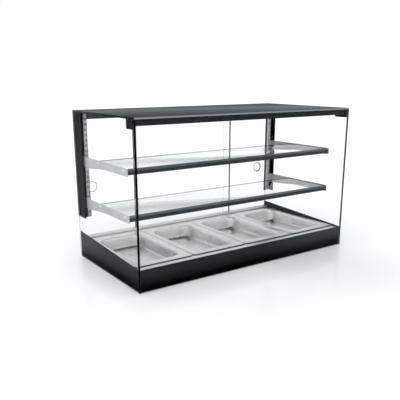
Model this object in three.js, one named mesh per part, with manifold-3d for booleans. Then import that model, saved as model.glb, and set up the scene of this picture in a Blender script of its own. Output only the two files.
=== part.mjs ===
// Countertop hot food display case: a glass box on a low heated base that holds four lift-out
// gastronorm pans, with two glass shelves on cantilever brackets and sliding glass doors behind.
// Millimetres, +Z up. The customer's side faces -Y. The origin is on the counter, in the middle
// of the footprint.

import * as THREE from 'three';
import { mergeVertices } from 'three/addons/utils/BufferGeometryUtils.js';
import Module from 'manifold-3d';

const wasm = await Module();
wasm.setup();

// ---------------------------------------------------------------- driving dimensions

const WIDTH = 1330;
const DEPTH = 665;
const HEIGHT = 786;
const CLEAR = 0.3; // between pieces that rest on or beside each other
const SHEET = 1.5; // steel sheet of the base
const PANE = 6; // front and side glass
const TOP_PANE = 8;
const FOOT_HEIGHT = 4;
const PAN_COUNT = 4;

const HALF_WIDTH = WIDTH / 2;
const FRONT = -DEPTH / 2;
const REAR = DEPTH / 2;

// base
const BASE_TOP_FRONT = 112;
const BASE_TOP_REAR = 145;
const SIDE_PANEL_INNER = HALF_WIDTH - PANE - 2;
const TRAY_HALF = SIDE_PANEL_INNER - 0.5;
const TRAY_FRONT = FRONT + PANE + CLEAR;
const TRAY_REAR = REAR - 3.5;
const DECK_TOP = 106;
const DECK_BOTTOM = DECK_TOP - SHEET;
const REAR_PANEL = 312; // inner face of the rear service panel

// gastronorm 1/1 pans, 65 mm deep, hung by their rims in the deck
const PAN_PITCH = 328;
const PAN_WIDTH = 325;
const PAN_LENGTH = 530;
const PAN_DEPTH = 65;
const PAN_CENTRE_Y = -9.5;
const PAN_SIDE_FLANGE = 34;
const PAN_END_FLANGE = 44;
const PAN_RIM_TOP = 110.4;
const PAN_WALL = 1.2;

// heated well below the pans
const WELL_HALF = 648;
const WELL_FRONT = -272;
const WELL_REAR = 252;
const WELL_FLOOR = 24;
const WELL_SHEET = 2;
const HEATER_Z = 18;
const HEATER_RADIUS = 4.5;

// glass box
const PANE_BOTTOM = FOOT_HEIGHT;
const PANE_TOP = HEIGHT - TOP_PANE - CLEAR;
const FRONT_PANE_BACK = FRONT + PANE;
const SIDE_PANE_REAR = REAR - 2.5;
const SEAL_WIDTH = 8;
const RAIL_BOTTOM = 750; // underside of the front top rail
const TRACK_FRONT = 290;
const TRACK_BACK = REAR - 1.5;
const TRACK_HALF = 655;
const TOP_TRACK_BOTTOM = 740;
const BOTTOM_TRACK_TOP = 115;
const GROOVE = 9;
const INNER_GROOVE_Y = 304.5;
const OUTER_GROOVE_Y = 321.5;

// shelves
const SHELF_TOPS = { lower: 337.5, upper: 553.5 };
const SHELF_FRONT = -222.5;
const SHELF_GLASS_BACK = 97.5;
const BRACKET_INNER = 644.5;
const BRACKET_THICK = 2.5;
const UPRIGHT_INNER = 617;
const UPRIGHT_OUTER = 637;
const UPRIGHT_FRONT = 267.5;
const UPRIGHT_BACK = 286.2;
const UPRIGHT_BOTTOM = 236;
const COVER_BOTTOM = 228;

// sliding doors: two end leaves on the outer track, one centre leaf on the inner track
const LEAF = 5;
const LEAF_BOTTOM = 108.5;
const LEAF_TOP = 766;
const END_LEAF_OUTER = 651;
const END_LEAF_INNER = 300;
const CENTRE_LEAF_HALF = 337;
const GRIP_X = 581;
const GRIP_Z = 380;

// controls on the rear service panel
const CONTROL_Z = 55;
const THERMOSTAT_X = -220;
const SWITCH_X = 110;
const SWITCH_PITCH = 28;
const GLAND_X = 560;
const GLAND_Z = 40;

// ---------------------------------------------------------------- materials

const finishes = {
  glass: { color: 0xe8f2f0, roughness: 0.03, metalness: 0.0, transparent: true, opacity: 0.25 },
  smoked: { color: 0x30363a, roughness: 0.05, metalness: 0.0, transparent: true, opacity: 0.8 },
  anthracite: { color: 0x30363a, roughness: 0.4, metalness: 0.3 },
  black: { color: 0x101214, roughness: 0.45, metalness: 0.1 },
  stainless: { color: 0xc9cbcc, roughness: 0.28, metalness: 1.0 },
  galvanised: { color: 0x9a9ea1, roughness: 0.5, metalness: 0.9 },
  aluminium: { color: 0xb4b7b8, roughness: 0.35, metalness: 0.9 },
  rubber: { color: 0x151515, roughness: 0.9, metalness: 0.0 },
  plastic: { color: 0x1b1c1e, roughness: 0.5, metalness: 0.0 },
  diffuser: { color: 0xf4f1e6, roughness: 0.6, metalness: 0.0 },
  wool: { color: 0xd8cfb4, roughness: 0.95, metalness: 0.0 },
  terminal: { color: 0xe2dfd2, roughness: 0.6, metalness: 0.0 },
  red: { color: 0xa81c16, roughness: 0.35, metalness: 0.0 },
  green: { color: 0x1d7a3a, roughness: 0.35, metalness: 0.0 },
};

const materials = {};
for (const [name, values] of Object.entries(finishes)) {
  materials[name] = new THREE.MeshStandardMaterial(values);
}

const displayCase = new THREE.Group();

function add(name, geometry, finish) {
  const mesh = new THREE.Mesh(geometry, materials[finish].clone());
  mesh.name = name;
  displayCase.add(mesh);
  return mesh;
}

// ---------------------------------------------------------------- geometry helpers

function boxGeometry(x, y, z) {
  const geometry = new THREE.BoxGeometry(x[1] - x[0], y[1] - y[0], z[1] - z[0]);
  geometry.translate((x[0] + x[1]) / 2, (y[0] + y[1]) / 2, (z[0] + z[1]) / 2);
  return geometry;
}

function outline(points) {
  return new THREE.Shape(points.map(([a, b]) => new THREE.Vector2(a, b)));
}

// A section drawn as (y, z) and run along X from x0 to x1.
function alongX(shape, x0, x1, curveSegments = 6) {
  const geometry = new THREE.ExtrudeGeometry(shape, {
    depth: x1 - x0, bevelEnabled: false, curveSegments,
  });
  const turn = new THREE.Matrix4().makeBasis(
    new THREE.Vector3(0, 1, 0), new THREE.Vector3(0, 0, 1), new THREE.Vector3(1, 0, 0));
  geometry.applyMatrix4(turn);
  geometry.translate(x0, 0, 0);
  return geometry;
}

// A plan drawn as (x, y) and run up from z0 to z1.
function alongZ(shape, z0, z1, curveSegments = 6) {
  const geometry = new THREE.ExtrudeGeometry(shape, {
    depth: z1 - z0, bevelEnabled: false, curveSegments,
  });
  geometry.translate(0, 0, z0);
  return geometry;
}

// A turned profile of (radius, distance) pairs about an axis along +Y.
function turnedAlongY(profile, x, y, z, segments) {
  const points = profile.map(([radius, along]) => new THREE.Vector2(radius, along));
  const geometry = new THREE.LatheGeometry(points, segments);
  geometry.translate(x, y, z);
  return geometry;
}

function solid(geometry) {
  const bare = geometry.clone();
  bare.deleteAttribute('normal');
  bare.deleteAttribute('uv');
  const merged = mergeVertices(bare, 1e-4);
  return new wasm.Manifold(new wasm.Mesh({
    numProp: 3,
    vertProperties: new Float32Array(merged.attributes.position.array),
    triVerts: new Uint32Array(merged.index.array),
  }));
}

function geometryOf(manifold) {
  const mesh = manifold.getMesh();
  const geometry = new THREE.BufferGeometry();
  geometry.setAttribute('position', new THREE.BufferAttribute(mesh.vertProperties, 3));
  geometry.setIndex(new THREE.BufferAttribute(mesh.triVerts, 1));
  geometry.computeVertexNormals();
  return geometry;
}

function joined(...geometries) {
  return geometryOf(geometries.map(solid).reduce((sum, next) => sum.add(next)));
}

function cut(geometry, ...tools) {
  return geometryOf(tools.map(solid).reduce((rest, tool) => rest.subtract(tool), solid(geometry)));
}

function roundedPoints(halfX, halfY, radius, steps) {
  const points = [];
  const centres = [[1, 1], [-1, 1], [-1, -1], [1, -1]];
  centres.forEach(([sx, sy], corner) => {
    for (let i = 0; i <= steps; i += 1) {
      const angle = (corner + i / steps) * Math.PI / 2;
      points.push([
        sx * (halfX - radius) + radius * Math.cos(angle),
        sy * (halfY - radius) + radius * Math.sin(angle),
      ]);
    }
  });
  return points;
}

function roundedShape(halfX, halfY, radius, steps, x = 0, y = 0) {
  return outline(roundedPoints(halfX, halfY, radius, steps).map(([a, b]) => [a + x, b + y]));
}

// A closed skin through rings with equal point counts; the first and last rings are capped.
function lofted(rings) {
  const count = rings[0].length;
  const positions = rings.flat(2);
  const index = [];
  for (let ring = 0; ring + 1 < rings.length; ring += 1) {
    for (let i = 0; i < count; i += 1) {
      const next = (i + 1) % count;
      const a = ring * count + i;
      const b = ring * count + next;
      index.push(a, b, b + count, a, b + count, a + count);
    }
  }
  const cap = (ring, flip) => {
    const flat = rings[ring].map(([x, y]) => new THREE.Vector2(x, y));
    for (const face of THREE.ShapeUtils.triangulateShape(flat, [])) {
      const corners = flip ? [face[2], face[1], face[0]] : face;
      index.push(...corners.map((i) => i + ring * count));
    }
  };
  cap(0, true);
  cap(rings.length - 1, false);
  const geometry = new THREE.BufferGeometry();
  geometry.setAttribute('position', new THREE.Float32BufferAttribute(positions, 3));
  geometry.setIndex(index);
  geometry.computeVertexNormals();
  return geometry;
}

// The same piece on the left (-1) and the right (+1), from a span given for the right.
function span(side, inner, outer) {
  return side > 0 ? [inner, outer] : [-outer, -inner];
}

const SIDES = [['left', -1], ['right', 1]];

// ---------------------------------------------------------------- base

function feet() {
  const radius = 20;
  const places = [['front_left', -1, -1], ['front_right', 1, -1], ['rear_left', -1, 1],
    ['rear_right', 1, 1]];
  for (const [place, sx, sy] of places) {
    const foot = new THREE.CylinderGeometry(radius, radius - 1, FOOT_HEIGHT - CLEAR, 24);
    foot.rotateX(Math.PI / 2);
    foot.translate(sx * 600, sy * 270, (FOOT_HEIGHT - CLEAR) / 2);
    add(`foot_${place}`, foot, 'rubber');
  }
}

function baseTray() {
  const floorTop = FOOT_HEIGHT + SHEET;
  const wallTop = DECK_BOTTOM - CLEAR;
  const floor = boxGeometry([-TRAY_HALF, TRAY_HALF], [TRAY_FRONT, TRAY_REAR], [FOOT_HEIGHT, floorTop]);
  const front = boxGeometry([-TRAY_HALF, TRAY_HALF], [TRAY_FRONT, TRAY_FRONT + SHEET],
    [FOOT_HEIGHT, BASE_TOP_FRONT - 1]);
  const walls = SIDES.map(([, side]) => boxGeometry(
    span(side, TRAY_HALF - SHEET, TRAY_HALF), [TRAY_FRONT, TRAY_REAR], [FOOT_HEIGHT, wallTop]));
  add('base_tray', joined(floor, front, ...walls), 'anthracite');
}

function sidePanels() {
  const trapezoid = outline([
    [TRAY_FRONT, FOOT_HEIGHT], [REAR - 1, FOOT_HEIGHT],
    [REAR - 1, BASE_TOP_REAR], [TRAY_FRONT, BASE_TOP_FRONT],
  ]);
  for (const [name, side] of SIDES) {
    const [x0, x1] = span(side, SIDE_PANEL_INNER, SIDE_PANEL_INNER + SHEET);
    add(`side_panel_${name}`, alongX(trapezoid, x0, x1), 'anthracite');
  }
}

function panCentreX(index) {
  return (index - (PAN_COUNT - 1) / 2) * PAN_PITCH;
}

function deck() {
  const openingHalfX = 152.5;
  const openingHalfY = 255;
  const openingRadius = 40;
  const plate = outline([
    [-TRAY_HALF, TRAY_FRONT + SHEET + CLEAR], [TRAY_HALF, TRAY_FRONT + SHEET + CLEAR],
    [TRAY_HALF, TRACK_BACK], [-TRAY_HALF, TRACK_BACK],
  ]);
  for (let i = 0; i < PAN_COUNT; i += 1) {
    const points = roundedPoints(openingHalfX, openingHalfY, openingRadius, 6);
    plate.holes.push(new THREE.Path(points.map(([x, y]) =>
      new THREE.Vector2(x + panCentreX(i), y + PAN_CENTRE_Y))));
  }
  add('deck', alongZ(plate, DECK_BOTTOM, DECK_TOP), 'stainless');
}

function well() {
  const top = DECK_BOTTOM - CLEAR;
  const tub = boxGeometry([-WELL_HALF, WELL_HALF], [WELL_FRONT, WELL_REAR], [WELL_FLOOR, top]);
  const hollow = boxGeometry(
    [-WELL_HALF + WELL_SHEET, WELL_HALF - WELL_SHEET],
    [WELL_FRONT + WELL_SHEET, WELL_REAR - WELL_SHEET],
    [WELL_FLOOR + WELL_SHEET, top + 1]);
  add('well', cut(tub, hollow), 'stainless');
}

function insulationBoard() {
  add('insulation_board', boxGeometry(
    [-WELL_HALF, WELL_HALF], [WELL_FRONT, WELL_REAR], [FOOT_HEIGHT + SHEET + 1, 12.5]), 'wool');
}

// Tubular element bent to and fro under the well.
class Serpentine extends THREE.Curve {
  constructor(halfLength, pitch, passes, z) {
    super();
    this.halfLength = halfLength;
    this.pitch = pitch;
    this.passes = passes;
    this.z = z;
    this.bend = Math.PI * pitch / 2;
    this.total = passes * 2 * halfLength + (passes - 1) * this.bend;
  }

  getPoint(t, target = new THREE.Vector3()) {
    const run = 2 * this.halfLength;
    let left = Math.min(Math.max(t, 0), 1) * this.total;
    let pass = 0;
    while (pass < this.passes - 1 && left > run + this.bend) {
      left -= run + this.bend;
      pass += 1;
    }
    const way = pass % 2 === 0 ? 1 : -1;
    const y = WELL_FRONT + 90 + pass * this.pitch;
    if (left <= run) {
      return target.set(way * (left - this.halfLength), y, this.z);
    }
    const radius = this.pitch / 2;
    const angle = (left - run) / radius;
    return target.set(way * (this.halfLength + radius * Math.sin(angle)),
      y + radius * (1 - Math.cos(angle)), this.z);
  }

  getPointAt(t, target) {
    return this.getPoint(t, target);
  }
}

function heatingElement() {
  const sides = 8;
  const section = outline(Array.from({ length: sides }, (_, i) => {
    const angle = 2 * Math.PI * i / sides;
    return [HEATER_RADIUS * Math.cos(angle), HEATER_RADIUS * Math.sin(angle)];
  }));
  const path = new Serpentine(500, 112, 4, HEATER_Z);
  const geometry = new THREE.ExtrudeGeometry(section, {
    steps: 88, extrudePath: path, bevelEnabled: false,
  });
  add('heating_element', geometry, 'galvanised');
}

function temperatureProbe() {
  const probe = new THREE.CylinderGeometry(3, 3, 60, 12);
  probe.rotateZ(Math.PI / 2);
  probe.translate(THERMOSTAT_X + 120, WELL_REAR + 3 + CLEAR, 70);
  add('temperature_probe', probe, 'stainless');
}

function ledDriver() {
  add('led_driver', boxGeometry([-540, -390], [WELL_REAR + 4, REAR_PANEL - 6],
    [FOOT_HEIGHT + SHEET + CLEAR, 34]), 'plastic');
}

function terminalBlock() {
  const body = boxGeometry([420, 500], [276, 300], [FOOT_HEIGHT + SHEET + CLEAR, 26]);
  const slots = [0, 1, 2, 3, 4].map((i) =>
    boxGeometry([426 + i * 15, 434 + i * 15], [280, 296], [18, 30]));
  add('terminal_block', cut(body, ...slots), 'terminal');
}

// ---------------------------------------------------------------- rear service panel and controls

const PANEL_FACE = REAR_PANEL + SHEET;
const THERMOSTAT = { bodyHalfX: 35, bodyHalfZ: 14, bezelHalfX: 39, bezelHalfZ: 17.5, bezel: 4 };
const BUTTON = { halfX: 3.6, halfZ: 2.6, play: 0.4, proud: 1.2, z: CONTROL_Z - 11 };
const SWITCH = { windowHalfX: 10, windowHalfZ: 12.4, bezelHalfZ: 16, bezel: 2.2, depth: 17 };
const SWITCH_CENTRES = [['heat', SWITCH_X], ['light', SWITCH_X + SWITCH_PITCH]];
const BUTTONS = [['set', THERMOSTAT_X - 14], ['down', THERMOSTAT_X], ['up', THERMOSTAT_X + 14]];
const GLAND_RADIUS = 9;

function rearPanel() {
  const half = TRAY_HALF - SHEET - 0.5;
  const panel = boxGeometry([-half, half], [REAR_PANEL, PANEL_FACE],
    [FOOT_HEIGHT + SHEET + CLEAR, DECK_BOTTOM - CLEAR]);
  const through = [REAR_PANEL - 2, PANEL_FACE + 2];
  const tools = [];
  tools.push(boxGeometry(
    [THERMOSTAT_X - THERMOSTAT.bodyHalfX - 0.5, THERMOSTAT_X + THERMOSTAT.bodyHalfX + 0.5],
    through,
    [CONTROL_Z - THERMOSTAT.bodyHalfZ - 0.5, CONTROL_Z + THERMOSTAT.bodyHalfZ + 0.5]));
  tools.push(boxGeometry([SWITCH_X - 12.5, SWITCH_X + SWITCH_PITCH + 12.5], through,
    [CONTROL_Z - 14, CONTROL_Z + 14]));
  const glandHole = new THREE.CylinderGeometry(GLAND_RADIUS + 0.5, GLAND_RADIUS + 0.5, 8, 24);
  glandHole.translate(GLAND_X, PANEL_FACE, GLAND_Z);
  tools.push(glandHole);
  for (const centre of [-470, 340]) {
    for (let i = 0; i < 8; i += 1) {
      const x = centre + (i - 3.5) * 14;
      tools.push(boxGeometry([x - 3, x + 3], through, [30, 80]));
    }
  }
  add('rear_panel', cut(panel, ...tools), 'galvanised');
}

function thermostat() {
  const { bodyHalfX, bodyHalfZ, bezelHalfX, bezelHalfZ, bezel } = THERMOSTAT;
  const body = boxGeometry([THERMOSTAT_X - bodyHalfX, THERMOSTAT_X + bodyHalfX],
    [REAR_PANEL - 38, PANEL_FACE + CLEAR + 1],
    [CONTROL_Z - bodyHalfZ, CONTROL_Z + bodyHalfZ]);
  const face = boxGeometry([THERMOSTAT_X - bezelHalfX, THERMOSTAT_X + bezelHalfX],
    [PANEL_FACE + CLEAR, PANEL_FACE + CLEAR + bezel],
    [CONTROL_Z - bezelHalfZ, CONTROL_Z + bezelHalfZ]);
  const pockets = BUTTONS.map(([, x]) => boxGeometry(
    [x - BUTTON.halfX - BUTTON.play, x + BUTTON.halfX + BUTTON.play],
    [PANEL_FACE - 3, PANEL_FACE + bezel + 2],
    [BUTTON.z - BUTTON.halfZ - BUTTON.play, BUTTON.z + BUTTON.halfZ + BUTTON.play]));
  const display = boxGeometry([THERMOSTAT_X - 24, THERMOSTAT_X + 24],
    [PANEL_FACE + CLEAR + bezel - 0.8, PANEL_FACE + bezel + 2], [CONTROL_Z - 4, CONTROL_Z + 13]);
  add('thermostat', cut(joined(body, face), display, ...pockets), 'plastic');
}

function buttons() {
  const front = PANEL_FACE + CLEAR + THERMOSTAT.bezel + BUTTON.proud;
  for (const [name, x] of BUTTONS) {
    const cap = roundedShape(BUTTON.halfX, BUTTON.halfZ, 1.2, 3, x, BUTTON.z);
    const geometry = new THREE.ExtrudeGeometry(cap, { depth: 5, bevelEnabled: false });
    geometry.rotateX(Math.PI / 2);
    geometry.translate(0, front, 0);
    add(`button_${name}`, geometry, 'terminal');
  }
}

function switchFrame() {
  const left = SWITCH_X - 15.5;
  const right = SWITCH_X + SWITCH_PITCH + 15.5;
  const face = boxGeometry([left, right], [PANEL_FACE + CLEAR, PANEL_FACE + CLEAR + SWITCH.bezel],
    [CONTROL_Z - SWITCH.bezelHalfZ, CONTROL_Z + SWITCH.bezelHalfZ]);
  const body = boxGeometry([left + 3.5, right - 3.5],
    [PANEL_FACE - SWITCH.depth, PANEL_FACE + CLEAR + 1], [CONTROL_Z - 13.6, CONTROL_Z + 13.6]);
  const windows = SWITCH_CENTRES.map(([, x]) => boxGeometry(
    [x - SWITCH.windowHalfX, x + SWITCH.windowHalfX],
    [PANEL_FACE - SWITCH.depth - 2, PANEL_FACE + SWITCH.bezel + 3],
    [CONTROL_Z - SWITCH.windowHalfZ, CONTROL_Z + SWITCH.windowHalfZ]));
  add('switch_frame', cut(joined(face, body), ...windows), 'plastic');
}

// A rocker has a shallow V face and stands tilted by half its throw; it turns about X.
function rockers() {
  const halfThrow = THREE.MathUtils.degToRad(7);
  const halfHeight = 11;
  const section = outline([
    [-7, -6], [0.5, -halfHeight], [2.6, -halfHeight], [0.6, 0], [2.6, halfHeight],
    [0.5, halfHeight], [-7, 6],
  ]);
  for (const [name, x] of SWITCH_CENTRES) {
    const rocker = alongX(section, -9.2, 9.2);
    rocker.rotateX(-halfThrow);
    rocker.translate(x, PANEL_FACE + 1, CONTROL_Z);
    add(`rocker_${name}`, rocker, name === 'heat' ? 'red' : 'green');
  }
}

function cableGland() {
  const bore = 4.5;
  const profile = [
    [bore, -10], [GLAND_RADIUS - 1, -10], [GLAND_RADIUS - 1, SHEET + CLEAR], [14, SHEET + CLEAR],
    [14, 7], [11.5, 8], [11.5, 15], [8, 17], [bore, 17], [bore, -10],
  ];
  add('cable_gland', turnedAlongY(profile, GLAND_X, REAR_PANEL, GLAND_Z, 24), 'plastic');
}

// ---------------------------------------------------------------- pans

function pans() {
  const steps = 9;
  const level = (halfX, halfY, radius, z) =>
    roundedPoints(halfX, halfY, radius, steps).map(([x, y]) => [x, y, z]);
  const halfX = PAN_WIDTH / 2;
  const halfY = PAN_LENGTH / 2;
  const bodyX = halfX - PAN_SIDE_FLANGE;
  const bodyY = halfY - PAN_END_FLANGE;
  const floorX = bodyX - 12;
  const floorY = bodyY - 12;
  const bottom = PAN_RIM_TOP - PAN_DEPTH;
  const seat = DECK_TOP + CLEAR;
  const cornerOut = 52;
  const rings = [
    level(floorX - 8, floorY - 8, 36, bottom),
    level(floorX, floorY, 42, bottom + 8),
    level(bodyX - 2, bodyY - 2, cornerOut, seat - 4),
    level(bodyX + 1, bodyY + 1, cornerOut, seat + 1.6),
    level(halfX - 1.6, halfY - 1.6, 20, seat + 1.6),
    level(halfX - 1.6, halfY - 1.6, 20, seat),
    level(halfX, halfY, 21, seat),
    level(halfX, halfY, 21, PAN_RIM_TOP - 1),
    level(halfX - 1.2, halfY - 1.2, 20, PAN_RIM_TOP),
    level(bodyX + 1, bodyY + 1, cornerOut, PAN_RIM_TOP - 0.4),
    level(bodyX - 2 - PAN_WALL, bodyY - 2 - PAN_WALL, cornerOut - 1, seat - 4),
    level(floorX - PAN_WALL, floorY - PAN_WALL, 41, bottom + 8),
    level(floorX - 8 - PAN_WALL, floorY - 8 - PAN_WALL, 35, bottom + PAN_WALL),
  ];
  for (let i = 0; i < PAN_COUNT; i += 1) {
    const pan = add(`pan_${i + 1}`, lofted(rings), 'stainless');
    pan.position.set(panCentreX(i), PAN_CENTRE_Y, 0);
  }
}

// ---------------------------------------------------------------- glass box

function glassBox() {
  const high = [PANE_BOTTOM, PANE_TOP];
  const sealInner = HALF_WIDTH - SEAL_WIDTH;
  add('front_glass', boxGeometry([-sealInner + CLEAR, sealInner - CLEAR],
    [FRONT, FRONT_PANE_BACK], high), 'glass');
  for (const [name, side] of SIDES) {
    add(`corner_seal_${name}`, boxGeometry(span(side, sealInner, HALF_WIDTH),
      [FRONT, FRONT_PANE_BACK], high), 'black');
    add(`side_glass_${name}`, boxGeometry(span(side, HALF_WIDTH - PANE, HALF_WIDTH),
      [FRONT_PANE_BACK + CLEAR, SIDE_PANE_REAR], high), 'glass');
  }
  add('top_glass', boxGeometry([-HALF_WIDTH, HALF_WIDTH], [FRONT, REAR],
    [HEIGHT - TOP_PANE, HEIGHT]), 'smoked');
}

function frontTopRail() {
  const face = FRONT_PANE_BACK + CLEAR;
  const top = PANE_TOP - 0.2;
  const wall = 2.5;
  const section = outline([
    [face, RAIL_BOTTOM], [face + 12, RAIL_BOTTOM], [face + 12, RAIL_BOTTOM + 5],
    [face + 38, RAIL_BOTTOM + 5], [face + 38, RAIL_BOTTOM], [face + 54, RAIL_BOTTOM + 8],
    [face + 54, top], [face, top],
  ]);
  section.holes.push(new THREE.Path([
    [face + wall, RAIL_BOTTOM + 9], [face + wall, top - wall],
    [face + 54 - wall, top - wall], [face + 54 - wall, RAIL_BOTTOM + 9],
  ].map(([y, z]) => new THREE.Vector2(y, z))));
  add('front_top_rail', alongX(section, -652.5, 652.5), 'black');
  add('led_bar_top', boxGeometry([-640, 640], [face + 14, face + 36],
    [RAIL_BOTTOM - 1, RAIL_BOTTOM + 5 - CLEAR]), 'diffuser');
}

function cornerClamps() {
  for (const [name, side] of SIDES) {
    const front = FRONT_PANE_BACK + CLEAR;
    const bottom = 734;
    const shape = outline([
      [front, bottom], [front + 78, bottom], [front + 80, bottom + 2],
      [front + 80, PANE_TOP - 0.2], [front, PANE_TOP - 0.2],
    ]);
    const [x0, x1] = span(side, 652.8, 658.6);
    add(`corner_clamp_${name}`, alongX(shape, x0, x1), 'black');
  }
}

// Twin-groove track section; the grooves open towards the leaves.
function trackGrooves(z) {
  return [INNER_GROOVE_Y, OUTER_GROOVE_Y].map((y) => boxGeometry(
    [-TRACK_HALF - 1, TRACK_HALF + 1], [y - GROOVE / 2, y + GROOVE / 2], z));
}

function doorTracks() {
  const across = [-TRACK_HALF, TRACK_HALF];
  const deep = [TRACK_FRONT, TRACK_BACK];
  const lower = boxGeometry(across, deep, [DECK_TOP + CLEAR, BOTTOM_TRACK_TOP]);
  add('door_track_bottom', cut(lower, ...trackGrooves([LEAF_BOTTOM - 1, BOTTOM_TRACK_TOP + 1])),
    'aluminium');
  const upper = boxGeometry(across, deep, [TOP_TRACK_BOTTOM, PANE_TOP - 0.2]);
  add('door_track_top', cut(upper, ...trackGrooves([TOP_TRACK_BOTTOM - 1, LEAF_TOP + 6])), 'black');
}

// Black section in each rear corner: one leg bonded to the side pane with a lip round the pane's
// rear edge, and a tongue across behind the upright.
function cornerCovers() {
  const legFront = 249;
  const legInner = 655.5;
  const legOuter = 658.5;
  const lipFront = SIDE_PANE_REAR + CLEAR;
  const tongueEnd = 612;
  const tongueFront = 286.5;
  const tongueBack = 289.5;
  for (const [name, side] of SIDES) {
    const plan = [
      [legOuter, legFront], [legOuter, lipFront], [HALF_WIDTH, lipFront], [HALF_WIDTH, REAR],
      [legInner, REAR], [legInner, tongueBack], [tongueEnd, tongueBack],
      [tongueEnd, tongueFront], [legInner, tongueFront], [legInner, legFront],
    ].map(([x, y]) => [side * x, y]);
    add(`corner_cover_${name}`, alongZ(outline(plan), COVER_BOTTOM, PANE_TOP - 0.2), 'black');
  }
}

// Slotted shelf uprights, open at the back.
function uprights() {
  const wall = 2;
  const lip = 5;
  const top = PANE_TOP - 1.2;
  const slotPitch = 27;
  const slotCount = 19;
  for (const [name, side] of SIDES) {
    const [x0, x1] = span(side, UPRIGHT_INNER, UPRIGHT_OUTER);
    const middle = (x0 + x1) / 2;
    const channel = alongZ(outline([
      [x0, UPRIGHT_FRONT], [x1, UPRIGHT_FRONT], [x1, UPRIGHT_BACK], [x1 - lip, UPRIGHT_BACK],
      [x1 - lip, UPRIGHT_BACK - wall], [x1 - wall, UPRIGHT_BACK - wall],
      [x1 - wall, UPRIGHT_FRONT + wall], [x0 + wall, UPRIGHT_FRONT + wall],
      [x0 + wall, UPRIGHT_BACK - wall], [x0 + lip, UPRIGHT_BACK - wall],
      [x0 + lip, UPRIGHT_BACK], [x0, UPRIGHT_BACK],
    ]), UPRIGHT_BOTTOM, top);
    const slots = [];
    for (let i = 0; i < slotCount; i += 1) {
      const z = UPRIGHT_BOTTOM + 22 + i * slotPitch;
      for (const offset of [-4, 4]) {
        slots.push(boxGeometry([middle + offset - 1.7, middle + offset + 1.7],
          [UPRIGHT_FRONT - 1, UPRIGHT_FRONT + wall + 1], [z - 7, z + 7]));
      }
    }
    add(`upright_${name}`, cut(channel, ...slots), 'aluminium');
  }
}

// ---------------------------------------------------------------- shelves

function shelfBracket(side, top) {
  const frontDepth = 37;
  const rearDepth = 54;
  const face = SHELF_FRONT + 1;
  const plate = new THREE.Shape();
  plate.moveTo(face, top + 2);
  plate.lineTo(face, top + 2 - frontDepth);
  plate.lineTo(-10, top + 2 - frontDepth);
  plate.bezierCurveTo(80, top + 2 - frontDepth, 150, top + 2 - rearDepth, 230, top + 2 - rearDepth);
  plate.lineTo(UPRIGHT_FRONT - CLEAR, top + 2 - rearDepth);
  plate.lineTo(UPRIGHT_FRONT - CLEAR, top + 2);
  plate.closePath();
  const [x0, x1] = span(side, BRACKET_INNER, BRACKET_INNER + BRACKET_THICK);
  const pieces = [alongX(plate, x0, x1, 10)];
  pieces.push(boxGeometry(span(side, UPRIGHT_INNER + 1, BRACKET_INNER + 1),
    [UPRIGHT_FRONT - CLEAR - BRACKET_THICK, UPRIGHT_FRONT - CLEAR], [top + 2 - rearDepth, top + 2]));
  for (const y of [SHELF_FRONT + 40, SHELF_GLASS_BACK - 14]) {
    const pin = new THREE.CylinderGeometry(3.5, 3.5, 16, 12);
    pin.rotateZ(Math.PI / 2);
    pin.translate(side * (BRACKET_INNER - 6), y, top - PANE - CLEAR - 3.5);
    pieces.push(pin);
  }
  return joined(...pieces);
}

function shelf(name, top) {
  const front = SHELF_FRONT;
  const glassFront = front + 13 + CLEAR;
  const ledge = top - PANE - CLEAR;
  const nose = outline([
    [front, top - 27], [front, top - 9], [front + 13, top], [front + 13, ledge],
    [front + 25, ledge], [front + 25, ledge - 2.7], [front + 11, ledge - 2.7],
    [front + 11, top - 27],
  ]);
  add(`shelf_profile_${name}`, alongX(nose, -643.9, 643.9), 'anthracite');
  add(`led_bar_${name}`, boxGeometry([-635, 635], [front + 11.3, front + 18], [top - 20, ledge - 3]),
    'diffuser');
  add(`shelf_glass_${name}`, boxGeometry([-643.5, 643.5], [glassFront, SHELF_GLASS_BACK],
    [top - PANE, top]), 'glass');
  for (const [place, side] of SIDES) {
    add(`shelf_bracket_${name}_${place}`, shelfBracket(side, top), 'aluminium');
  }
}

// ---------------------------------------------------------------- sliding doors

function endDoors() {
  const ring = [[24, 0], [31, 0], [31, 4], [29, 7], [26, 7], [24, 5], [24, 0]];
  for (const [name, side] of SIDES) {
    add(`door_glass_${name}`, boxGeometry(span(side, END_LEAF_INNER, END_LEAF_OUTER),
      [OUTER_GROOVE_Y - LEAF / 2, OUTER_GROOVE_Y + LEAF / 2], [LEAF_BOTTOM, LEAF_TOP]), 'glass');
    add(`door_grip_${name}`, turnedAlongY(ring, side * GRIP_X, OUTER_GROOVE_Y + LEAF / 2 + CLEAR,
      GRIP_Z, 32), 'aluminium');
  }
}

function centreDoor() {
  const edge = CENTRE_LEAF_HALF;
  const wrap = 3.5;
  const skin = 1.2;
  const half = LEAF / 2 + CLEAR;
  const y = INNER_GROOVE_Y;
  add('door_glass_centre', boxGeometry([-edge, edge], [y - LEAF / 2, y + LEAF / 2],
    [LEAF_BOTTOM, LEAF_TOP]), 'glass');
  for (const [name, side] of SIDES) {
    const plan = [
      [edge - wrap, y - half - skin], [edge + skin + CLEAR, y - half - skin],
      [edge + skin + CLEAR, y + half + skin], [edge - wrap, y + half + skin],
      [edge - wrap, y + half], [edge + CLEAR, y + half], [edge + CLEAR, y - half],
      [edge - wrap, y - half],
    ].map(([a, b]) => [side * a, b]);
    add(`door_edge_${name}`, alongZ(outline(plan), BOTTOM_TRACK_TOP + 2, TOP_TRACK_BOTTOM - 2),
      'anthracite');
  }
}

// ---------------------------------------------------------------- assembly

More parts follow.
